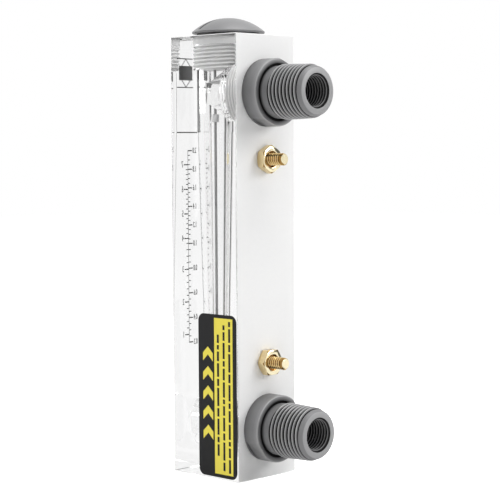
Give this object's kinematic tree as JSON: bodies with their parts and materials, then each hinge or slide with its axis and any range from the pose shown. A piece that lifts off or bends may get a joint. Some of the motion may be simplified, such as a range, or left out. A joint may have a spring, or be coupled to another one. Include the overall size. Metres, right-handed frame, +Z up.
{
  "type": "rotameter",
  "caption": "Clear acrylic panel rotameter: block with tapered metering bore, guided float, domed top plug, threaded back connectors and brass mounting studs.",
  "frame": {"origin": "middle of the acrylic block's bottom face", "axes": "+Z up along the metering bore, +Y out of the back where the ports and studs are, +X out of the labelled side"},
  "size_m": [0.0328, 0.0641, 0.1824],
  "materials": {
    "clear_acrylic": "clear, polished",
    "white_film": "matt white",
    "grey_plastic": "satin, moulded",
    "black_rubber": "matt",
    "grey_rubber": "matt",
    "stainless_steel": "turned",
    "bright_brass": "polished",
    "label_film": "printed film, yellow panel on black"
  },
  "bodies": {
    "meter": {"meter_block": "clear_acrylic", "white_back_film": "white_film", "top_plug": "grey_plastic", "plug_gasket": "black_rubber", "guide_rod": "stainless_steel", "lower_stop_bead": "grey_rubber", "upper_stop_bead": "grey_rubber", "lower_connector": "grey_plastic", "upper_connector": "grey_plastic", "lower_connector_seal": "black_rubber", "upper_connector_seal": "black_rubber", "lower_stud": "bright_brass", "upper_stud": "bright_brass", "lower_stud_nut": "bright_brass", "upper_stud_nut": "bright_brass", "side_label": "label_film"},
    "float": {"float": "stainless_steel"}
  },
  "joints": [
    {"name": "float_rise", "type": "slide", "parent": "meter", "child": "float", "axis": [0, 0, 1], "range_m": [0, 0.0891]}
  ]
}
